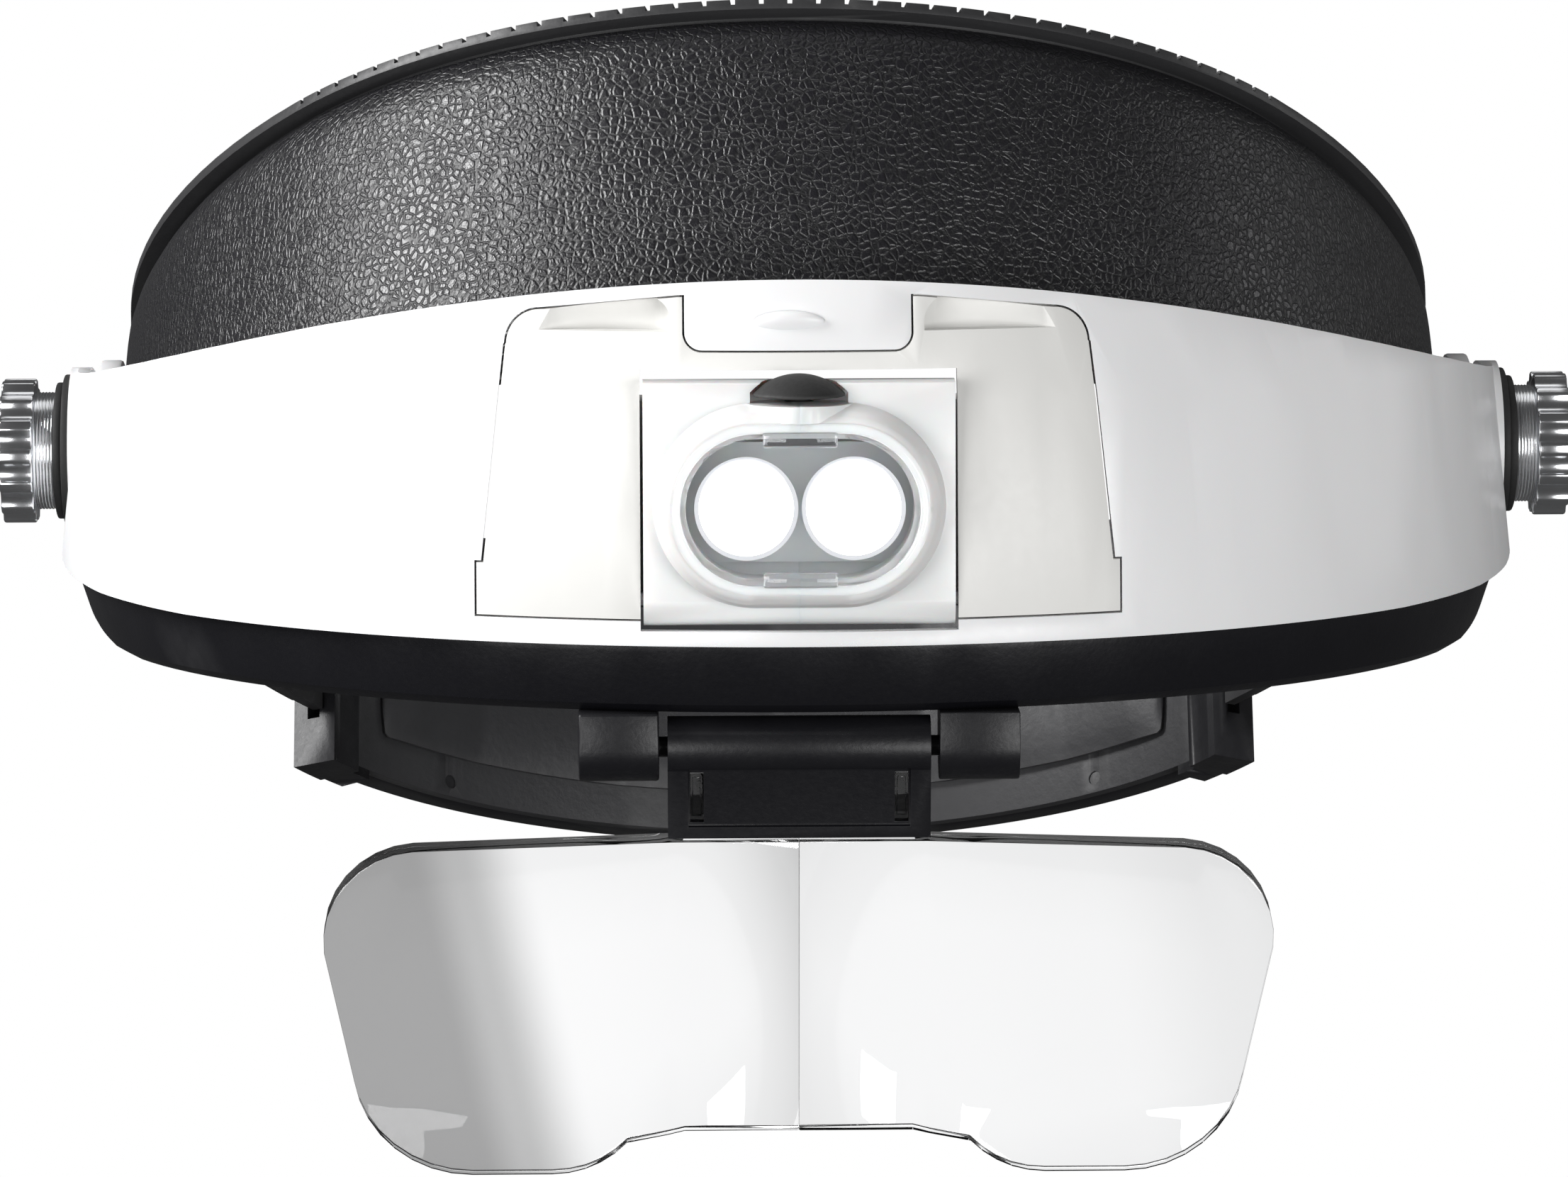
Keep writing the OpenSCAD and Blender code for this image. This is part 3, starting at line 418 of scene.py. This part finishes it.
LENS_LEFT_PAINTED_SHADE = lens_with_painted_shade("lens_acrylic_left",
                              ((0.0, 0.4), (0.05, 0.55), (0.13, 1.0), (0.3, 0.97), (0.5, 0.52)))
LENS_RIGHT_PAINTED_SHADE = lens_with_painted_shade("lens_acrylic_right", ((0.5, 0.97), (0.7, 0.95), (0.85, 0.86), (0.97, 0.76)))
WINDOW_CLEAR = acrylic("clear_window", (0.95, 0.96, 0.97), (0.01, 0.03))

# %% The lit light sources
def lit(name, colour, strength):
    mat, tree, bsdf = new_finish(name)
    co = add(tree, "ShaderNodeTexCoord")
    spots = add(tree, "ShaderNodeTexVoronoi", in_scale=900.0)
    tint = mix_colour(tree, colour, (1, 1, 1))
    tree.links.new(co.outputs["Object"], spots.inputs["Vector"])
    tree.links.new(spots.outputs["Distance"], sock(tint, "Factor"))
    tree.links.new(tint.outputs[2], bsdf.inputs["Base Color"])
    tree.links.new(tint.outputs[2], bsdf.inputs["Emission Color"])
    bsdf.inputs["Emission Strength"].default_value = strength
    bsdf.inputs["Roughness"].default_value = 0.3
    return mat


LED_LIT = lit("lit_led", (0.95, 0.97, 1.0), 12.0)

# %% Leatherette for the band's padded cover, and knitted foam for the pads
def leatherette(name):
    mat, tree, bsdf = new_finish(name)
    skin = use(tree, pebble)
    slow = use(tree, moulded, Scale=300.0)
    colour = mix_colour(tree, (0.006, 0.0055, 0.008), (0.012, 0.0115, 0.014))
    bsdf.inputs["Specular IOR Level"].default_value = 0.7
    # Painted shade: the creases between the pebbles are painted darker
    dark = add(tree, "ShaderNodeMix", data_type="RGBA")
    sock(dark, "B").default_value = (0.003, 0.003, 0.004, 1)
    ramp = add(tree, "ShaderNodeMapRange", in_To_Min=0.33, in_To_Max=0.47)
    lift = add(tree, "ShaderNodeBump", in_strength=0.6, in_distance=0.00013)
    for a, b in ((slow.outputs["Mask"], sock(colour, "Factor")),
                 (skin.outputs["Crease"], sock(dark, "Factor")),
                 (colour.outputs[2], sock(dark, "A")),
                 (dark.outputs[2], bsdf.inputs["Base Color"]),
                 (skin.outputs["Crease"], ramp.inputs["Value"]),
                 (ramp.outputs["Result"], bsdf.inputs["Roughness"]),
                 (skin.outputs["Height"], lift.inputs["Height"]),
                 (lift.outputs["Normal"], bsdf.inputs["Normal"])):
        tree.links.new(a, b)
    return mat


def knitted(name):
    mat, tree, bsdf = new_finish(name)
    face = use(tree, knit)
    colour = mix_colour(tree, (0.008, 0.008, 0.009), (0.03, 0.03, 0.032))
    lift = add(tree, "ShaderNodeBump", in_strength=0.6, in_distance=0.0003)
    tree.links.new(face.outputs["Shade"], sock(colour, "Factor"))
    tree.links.new(colour.outputs[2], bsdf.inputs["Base Color"])
    tree.links.new(face.outputs["Height"], lift.inputs["Height"])
    tree.links.new(lift.outputs["Normal"], bsdf.inputs["Normal"])
    bsdf.inputs["Roughness"].default_value = 0.9
    bsdf.inputs["Sheen Weight"].default_value = 0.3
    return mat


LEATHERETTE = leatherette("black_leatherette")
FOAM = knitted("knitted_foam")
print("finishes:", len(bpy.data.materials))

# %% [markdown]
# ## Moulded edges on the CAD pieces
# A moulded edge is never sharp: it has a small round that catches the light. Each hard piece is a
# copy of its CAD node with its triangles merged into flat faces, and a bevel on its corners. The lens
# halves and their holder keep their triangles, because a large merged face with a notch in it can
# shade as a dark wedge.
# %% A rounded copy of a CAD node
BEVEL_ANGLE, BEVEL_STEPS = 32, 2


def rounded(node, body, material, slot, width, flatten):
    source = NODES[node]
    obj = bpy.data.objects.new(node + "_shape", source.data.copy())
    bpy.context.scene.collection.objects.link(obj)
    edit(obj)
    bpy.ops.mesh.remove_doubles(threshold=0.000004)
    if flatten:
        bpy.ops.mesh.dissolve_limited(angle_limit=math.radians(1.0))
    done()
    faces = len(obj.data.polygons)
    apply_modifier(obj, "BEVEL", width=width * MM, segments=BEVEL_STEPS, limit_method="ANGLE",
                   angle_limit=math.radians(BEVEL_ANGLE), harden_normals=False)
    smooth(obj, 30)
    finish_piece(obj, node + "_piece", body, material, slot, node)
    print(node, faces, "faces ->", len(obj.data.polygons))
    return obj


ROUNDED = [
    ("visor_shell", "visor", WHITE, "white_abs", 0.35),
    ("visor_skirt", "visor", SATIN_BLACK, "black_plastic", 0.3),
    ("light_cover", "light_unit", WARM, "warm_white_abs", 0.3),
    ("lamp_half_left", "lamp", LAMP_WHITE, "white_abs", 0.22),
    ("lamp_half_right", "lamp", LAMP_WHITE, "white_abs", 0.22),
    ("power_button", "button", RUBBER, "rubber_black", 0.25),
    ("lens_holder", "holder", SATIN_BLACK, "black_plastic", 0.25),
    ("lens_ear_left", "visor", SATIN_BLACK, "black_plastic", 0.35),
    ("lens_ear_right", "visor", SATIN_BLACK, "black_plastic", 0.35),
    ("pivot_bracket_left", "headband", WHITE, "white_abs", 0.4),
    ("pivot_bracket_right", "headband", WHITE, "white_abs", 0.4),
    ("thumb_nut_left", "nut_left", NICKEL, "nut_chrome", 0.25),
    ("thumb_nut_right", "nut_right", NICKEL, "nut_chrome", 0.25),
    ("cradle_clip_left", "headband", SATIN_BLACK, "black_plastic", 0.3),
    ("cradle_clip_right", "headband", SATIN_BLACK, "black_plastic", 0.3),
    ("rear_cradle_outer", "headband", SATIN_BLACK, "black_plastic", 0.35),
    ("rear_cradle_inner", "headband", MOTTLED_BLACK, "black_plastic", 0.3),
    ("size_knob", "size_wheel", SATIN_BLACK, "black_plastic", 0.4),
    ("band_frame", "headband", BEAD_BLACK, "black_plastic", 0.12),
    ("outer_washers", "headband", RUBBER, "rubber_black", 0.25),
    ("lens_left", "lens_plate", LENS_LEFT_PAINTED_SHADE, "clear_acrylic", 0.3),
    ("lens_right", "lens_plate", LENS_RIGHT_PAINTED_SHADE, "clear_acrylic", 0.3),
]
KEEPS_TRIANGLES = ("lens_left", "lens_right", "lens_holder")
for node_name, body_name, finish, slot_name, edge_round in ROUNDED:
    rounded(node_name, body_name, finish, slot_name, edge_round, node_name not in KEEPS_TRIANGLES)

# %% CAD nodes that stay as they are, with their own finishes
KEPT = {
    "inner_washers": RUBBER, "lamp_window": WINDOW_CLEAR,
    "reflector_left": MIRROR, "reflector_right": MIRROR, "led_left": LED_LIT, "led_right": LED_LIT,
    "led_board": LAMP_WHITE, "power_switch": SATIN_BLACK,
    "battery_tray": WARM, "battery_cells": CELL_WRAP, "contact_springs": STEEL, "contact_plates": STEEL,
    "lamp_pivot_rod": STEEL, "lens_hinge_pin": SATIN_BLACK, "skirt_screws": STEEL,
    "cradle_screws": SATIN_BLACK, "pivot_bolt_left": STEEL, "pivot_bolt_right": STEEL,
    "size_pinion": STEEL, "size_strap_left": SATIN_BLACK, "size_strap_right": SATIN_BLACK,
}
for node_name, finish in KEPT.items():
    for place in NODES[node_name].material_slots:
        place.material = finish
print("kept nodes:", len(KEPT))

# %% [markdown]
# ## The lamp's clear rim and its two clips
# The window is held by a clear raised rim, with a small clip above and one below. The rim starts as a
# circle, is pulled out sideways into a long round, and is given a round section as a curve.
# %% Clear rim round the window
LAMP_FRONT, LAMP_MID = -96.3, 1.75
RIM_SPREAD, RIM_SIDES = 5.1, 96


def long_round(radius, y, thick):
    bpy.ops.object.select_all(action="DESELECT")
    bpy.ops.mesh.primitive_circle_add(vertices=RIM_SIDES, radius=radius * MM,
                                      rotation=(math.pi / 2, math.pi / RIM_SIDES, 0))
    obj = settle(bpy.context.object)
    edit(obj)
    for side in (-1, 1):
        bm = bmesh.from_edit_mesh(obj.data)
        for v in bm.verts:
            v.select = v.co.x * side > 0
        bm.select_flush_mode()
        bmesh.update_edit_mesh(obj.data)
        bpy.ops.transform.translate(value=(side * RIM_SPREAD * MM, 0, 0))
    done()
    bpy.ops.object.convert(target="CURVE")
    obj = bpy.context.object
    obj.data.bevel_depth = thick * MM
    obj.data.bevel_resolution = 4
    bpy.ops.object.convert(target="MESH")
    obj = bpy.context.object
    obj.data.transform(IN_VISOR @ Matrix.Translation((0, y * MM, LAMP_MID * MM)))
    smooth(obj, 60)
    return obj


rim = long_round(9.35, LAMP_FRONT - 0.1, 0.62)
finish_piece(rim, "lamp_window_rim", "lamp", WINDOW_CLEAR, "clear_acrylic")
print("rim faces:", len(rim.data.polygons))


# %% A block with soft edges, used for the two clips
def block(name, size, place, matrix, round_edge):
    bpy.ops.object.select_all(action="DESELECT")
    bpy.ops.mesh.primitive_cube_add(size=1)
    obj = bpy.context.object
    obj.scale = [v * MM for v in size]
    obj.location = [v * MM for v in place]
    settle(obj)
    edit(obj)
    bpy.ops.mesh.bevel(offset=round_edge * MM, segments=3, affect="EDGES")
    done()
    obj.data.transform(matrix)
    smooth(obj, 40)
    return obj


for name, height in (("upper", 8.1), ("lower", -8.1)):
    clip = block(name, (8.6, 1.4, 1.8), (0, LAMP_FRONT - 0.1, LAMP_MID + height), IN_VISOR, 0.3)
    finish_piece(clip, "lamp_window_clip_" + name, "lamp", WINDOW_CLEAR, "clear_acrylic")

# %% [markdown]
# ## The moulded ring on each small lens over a light source
# Each light source sits behind a small clear lens with a raised ring. One thin ring is made for each.
# %% Rings over the light sources
LIGHT_SPACING, RING_FRONT, RING_HEIGHT = 12.4, -93.9, 1.9
for name, x in (("left", -LIGHT_SPACING / 2), ("right", LIGHT_SPACING / 2)):
    bpy.ops.object.select_all(action="DESELECT")
    bpy.ops.mesh.primitive_torus_add(major_segments=64, minor_segments=8, major_radius=3.85 * MM,
                                     minor_radius=0.13 * MM, rotation=(math.pi / 2, 0, 0),
                                     location=(x * MM, RING_FRONT * MM, RING_HEIGHT * MM))
    ring = settle(bpy.context.object, IN_VISOR)
    smooth(ring, 60)
    finish_piece(ring, "lamp_lens_ring_" + name, "lamp", WINDOW_CLEAR, "clear_acrylic")

# %% [markdown]
# ## A finger bump on the shell's tab
# The tab between the two finger scoops has a low soft bump. A sphere is squashed to a lens and half
# sunk in the tab.
# %% Tab bump
bpy.ops.object.select_all(action="DESELECT")
bpy.ops.mesh.primitive_uv_sphere_add(segments=32, ring_count=16, radius=1)
bump = bpy.context.object
bump.scale = (4.2 * MM, 0.9 * MM, 1.4 * MM)
bump.rotation_euler = (math.radians(22), 0, 0)
bump.location = (-1.0 * MM, -85.7 * MM, 22.6 * MM)
settle(bump, IN_VISOR)
smooth(bump, 80)
finish_piece(bump, "tab_bump", "visor", WHITE, "white_abs")

# %% [markdown]
# ## Thread on the thumb nuts' hubs
# The neck of each nut shows fine turned rings. One thin ring is made, and each further ring is a
# copy with its own mesh, joined into one piece.
# %% Turned rings
FIRST_RING, RING_STEP, RINGS = 93.1, 0.4, 6
for side, body in ((-1, "nut_left"), (1, "nut_right")):
    rings = []
    for i in range(RINGS):
        bpy.ops.object.select_all(action="DESELECT")
        bpy.ops.mesh.primitive_torus_add(major_segments=48, minor_segments=6, major_radius=7.32 * MM,
                                         minor_radius=0.17 * MM, rotation=(0, math.pi / 2, 0),
                                         location=(side * (FIRST_RING + i * RING_STEP) * MM, 0, 0))
        rings.append(settle(bpy.context.object))
    bpy.ops.object.select_all(action="DESELECT")
    for ring in rings:
        ring.select_set(True)
    bpy.context.view_layer.objects.active = rings[0]
    bpy.ops.object.join()
    rings[0].data.transform(IN_VISOR)
    smooth(rings[0], 60)
    finish_piece(rings[0], body + "_rings", body, NICKEL, "nut_chrome")

# %% [markdown]
# ## The band's padded cover
# The cover is a strip of black leatherette over thin foam. It goes round the forehead as far as the
# side clips, follows an oval of four arcs, and is crowned: fullest along its middle, and pulled in
# where it is tucked under the plastic bead. It is made as one closed strip, station by station.
# %% The oval round the head, and a closed strip that follows it
HEAD_W, HEAD_L = 157.0, 197.0
OVAL_D = (HEAD_L - HEAD_W) / 2
END_C, SIDE_C = 1.5 * OVAL_D, 2 * OVAL_D
END_R, SIDE_R = HEAD_L / 2 - END_C, HEAD_W / 2 + SIDE_C
SIDE_HALF = math.atan(0.75)
END_HALF = math.pi / 2 - SIDE_HALF


def oval(s, out):
    # s is the way round from the middle of the forehead, in mm along the head opening
    side, s = (1 if s >= 0 else -1), abs(s)
    if s <= END_R * END_HALF:
        a = s / END_R
        return side * (END_R + out) * math.sin(a), -END_C - (END_R + out) * math.cos(a)
    a = (s - END_R * END_HALF) / SIDE_R - SIDE_HALF
    if a <= SIDE_HALF:
        return side * ((SIDE_R + out) * math.cos(a) - SIDE_C), (SIDE_R + out) * math.sin(a)
    a = END_HALF - (s - END_R * END_HALF - 2 * SIDE_R * SIDE_HALF) / END_R
    return side * (END_R + out) * math.sin(a), END_C + (END_R + out) * math.cos(a)


def strip(name, start, end, count, section):
    # section(s, y) gives the closed outline at one station as (out, height) pairs
    bm = bmesh.new()
    rings = []
    for i in range(count + 1):
        s = start + (end - start) * i / count
        y = oval(s, 0)[1]
        ring = []
        for out, height in section(s, y):
            px, py = oval(s, out)
            ring.append(bm.verts.new((px * MM, py * MM, height * MM)))
        rings.append(ring)
    n = len(rings[0])
    for a, b in zip(rings, rings[1:]):
        for j in range(n):
            bm.faces.new((a[j], b[j], b[(j + 1) % n], a[(j + 1) % n]))
    bm.faces.new(rings[0][::-1])
    bm.faces.new(rings[-1])
    bmesh.ops.recalc_face_normals(bm, faces=bm.faces)
    mesh = bpy.data.meshes.new(name)
    bm.to_mesh(mesh)
    bm.free()
    obj = bpy.data.objects.new(name, mesh)
    bpy.context.scene.collection.objects.link(obj)
    return obj


def band_low(y):
    # The band is deep over the forehead and narrow behind the temples
    if y < -30:
        return -24 + (y + 30) * 2 / 81.0
    return -12 if y > 8 else -24 + (y + 30) * 12 / 38.0


def ease(t):
    t = max(0.0, min(1.0, t))
    return t * t * (3 - 2 * t)


BAND_TOP, FRAME_OUT, BAND_OUT = 18.0, 5.6, 8.5


def cover_section(s, y):
    low, high = band_low(y), BAND_TOP
    rows = 12
    outer = []
    for k in range(rows + 1):
        t = k / rows
        crown = 1.1 * math.sin(math.pi * t) ** 0.7
        tuck = 1.9 * (1 - ease(t / 0.07)) + 2.2 * (1 - ease((1 - t) / 0.09))
        outer.append((BAND_OUT - 0.4 + crown - tuck, low + (high - low) * t))
    inner = FRAME_OUT + 0.1
    return outer + [(inner, high - 0.6), (inner, (low + high) / 2), (inner, low + 0.4)]


def end_station():
    # The cover ends just in front of the side clips
    limit = math.tan(math.radians(61.4))
    s = 0.0
    while True:
        x, y = oval(s, 7)
        if y > END_C and x / (y - END_C) <= limit:
            return s - 1.0
        s += 0.25


COVER_END = end_station()
cover = strip("hood_cover", -COVER_END, COVER_END, 150, cover_section)
cover.data.transform(IN_BAND)
apply_modifier(cover, "SUBSURF", levels=1, render_levels=1)
print("cover runs", round(2 * COVER_END), "mm round the head,", len(cover.data.polygons), "faces")

# %% Bore the cover for the two pivot posts
POST_BORE = 7.3


def bore(obj, radius, x0, x1, matrix):
    bpy.ops.object.select_all(action="DESELECT")
    bpy.ops.mesh.primitive_cylinder_add(vertices=48, radius=radius * MM, depth=(x1 - x0) * MM,
                                        location=((x0 + x1) / 2 * MM, 0, 0), rotation=(0, math.pi / 2, 0))
    tool = settle(bpy.context.object, matrix)
    apply_modifier(obj, "BOOLEAN", operation="DIFFERENCE", object=tool, solver="EXACT")
    bpy.data.objects.remove(tool)


def bore_both_sides(obj, inner, outer=92):
    for side in (-1, 1):
        start, end = sorted((side * inner, side * outer))
        bore(obj, POST_BORE, start, end, IN_VISOR)


bore_both_sides(cover, 60)
smooth(cover, 40)
finish_piece(cover, "band_cover_leatherette", "headband", LEATHERETTE, "leatherette", "band_cover")

# %% [markdown]
# ## The two pads that touch the head
# The forehead pad is soft foam with a knitted face, and the rear pad has a mottled moulded skin. Each
# is divided by channels, so its face rises between them and its ends are rounded.
# %% Pads
def pad_section(low, high, inner, outer, channel, ends):
    def section(s, y):
        bottom, top = low(y), high
        seam = abs(math.sin(math.pi * s / channel)) ** 0.45
        close = min(1.0, max(0.05, (ends - abs(s)) / 6.0)) ** 0.5
        out = []
        for k in range(9):
            t = k / 8
            swell = (0.35 + 0.65 * math.sin(math.pi * t) ** 0.6) * (0.72 + 0.28 * seam) * close
            out.append((outer - (outer - inner) * swell, top + (bottom - top) * t))
        mid = (bottom + top) / 2
        return out + [(outer, bottom + 0.8), (outer, mid), (outer, top - 0.8)]
    return section


front_end = COVER_END * 0.56
forehead = strip("forehead", -front_end, front_end, 160,
                 pad_section(lambda y: band_low(y) + 2, 16.5, 0.3, 3.8, 24.0, front_end + 1))
forehead.data.transform(IN_BAND)
apply_modifier(forehead, "SUBSURF", levels=1, render_levels=1)
bore_both_sides(forehead, 50)
smooth(forehead, 60)
finish_piece(forehead, "forehead_pad_knit", "headband", FOAM, "foam_black", "forehead_pad")

TURN = Matrix.Rotation(math.pi, 4, "Z")
rear_end = END_R * math.radians(51.5)
rear = strip("rear", -rear_end, rear_end, 90,
             pad_section(lambda y: -13.5, 16.5, 0.3, 3.4, 22.0, rear_end + 1))
rear.data.transform(IN_BAND @ TURN)
apply_modifier(rear, "SUBSURF", levels=1, render_levels=1)
smooth(rear, 60)
finish_piece(rear, "rear_pad_knit", "headband", MOTTLED_BLACK, "foam_black", "rear_pad")

# %% [markdown]
# ## Studio
# There is no backdrop, so that the object can be seen from every side: the white world is the
# background. It could light the object as well, but then the black pieces would look grey, so it is
# bright only where it is looked at, straight or through clear plastic, and soft lights do the rest.
# %% Rays that look straight at the background
def seen_directly(tree):
    ray = add(tree, "ShaderNodeLightPath")
    either = add(tree, "ShaderNodeMath", operation="MAXIMUM")
    tree.links.new(ray.outputs["Is Camera Ray"], either.inputs[0])
    tree.links.new(ray.outputs["Is Transmission Ray"], either.inputs[1])
    return either


# %% Lights
def soft_light(name, place, target, size, power):
    data = bpy.data.lights.new(name, "AREA")
    data.shape = "RECTANGLE"
    data.size, data.size_y = size
    data.energy = power
    obj = bpy.data.objects.new(name, data)
    bpy.context.scene.collection.objects.link(obj)
    aim = (Vector(target) - Vector(place)).to_track_quat("-Z", "Y").to_matrix().to_4x4()
    obj.matrix_world = Matrix.Translation(place) @ aim


SOFT_LIGHTS = [
    ("key_left", (-1.2, -0.28, 0.62), (0, -0.05, 0.02), (0.45, 0.8), 26),
    ("front_left", (-0.95, -1.6, -0.15), (0, -0.1, -0.02), (0.9, 0.7), 15),
    ("front_right", (0.9, -1.7, -0.2), (0, -0.1, -0.02), (0.8, 0.7), 19),
    ("rim_right", (1.3, 0.3, 0.3), (0, -0.05, 0.0), (0.3, 0.7), 1.5),
    ("top", (0.0, 0.3, 1.3), (0, 0, 0), (1.0, 0.6), 2),
]
for light in SOFT_LIGHTS:
    soft_light(*light)
print("lights:", len(SOFT_LIGHTS))

# %% The white world
world = bpy.data.worlds.new("studio")
bpy.context.scene.world = world
world.use_nodes = True
sky = world.node_tree.nodes["Background"]
sky.inputs["Color"].default_value = (1, 1, 1, 1)
seen = seen_directly(world.node_tree)
level = add(world.node_tree, "ShaderNodeMapRange", in_To_Min=0.07, in_To_Max=1.0)
world.node_tree.links.new(seen.outputs[0], level.inputs["Value"])
world.node_tree.links.new(level.outputs["Result"], sky.inputs["Strength"])
bpy.context.scene.view_settings.view_transform = "Standard"
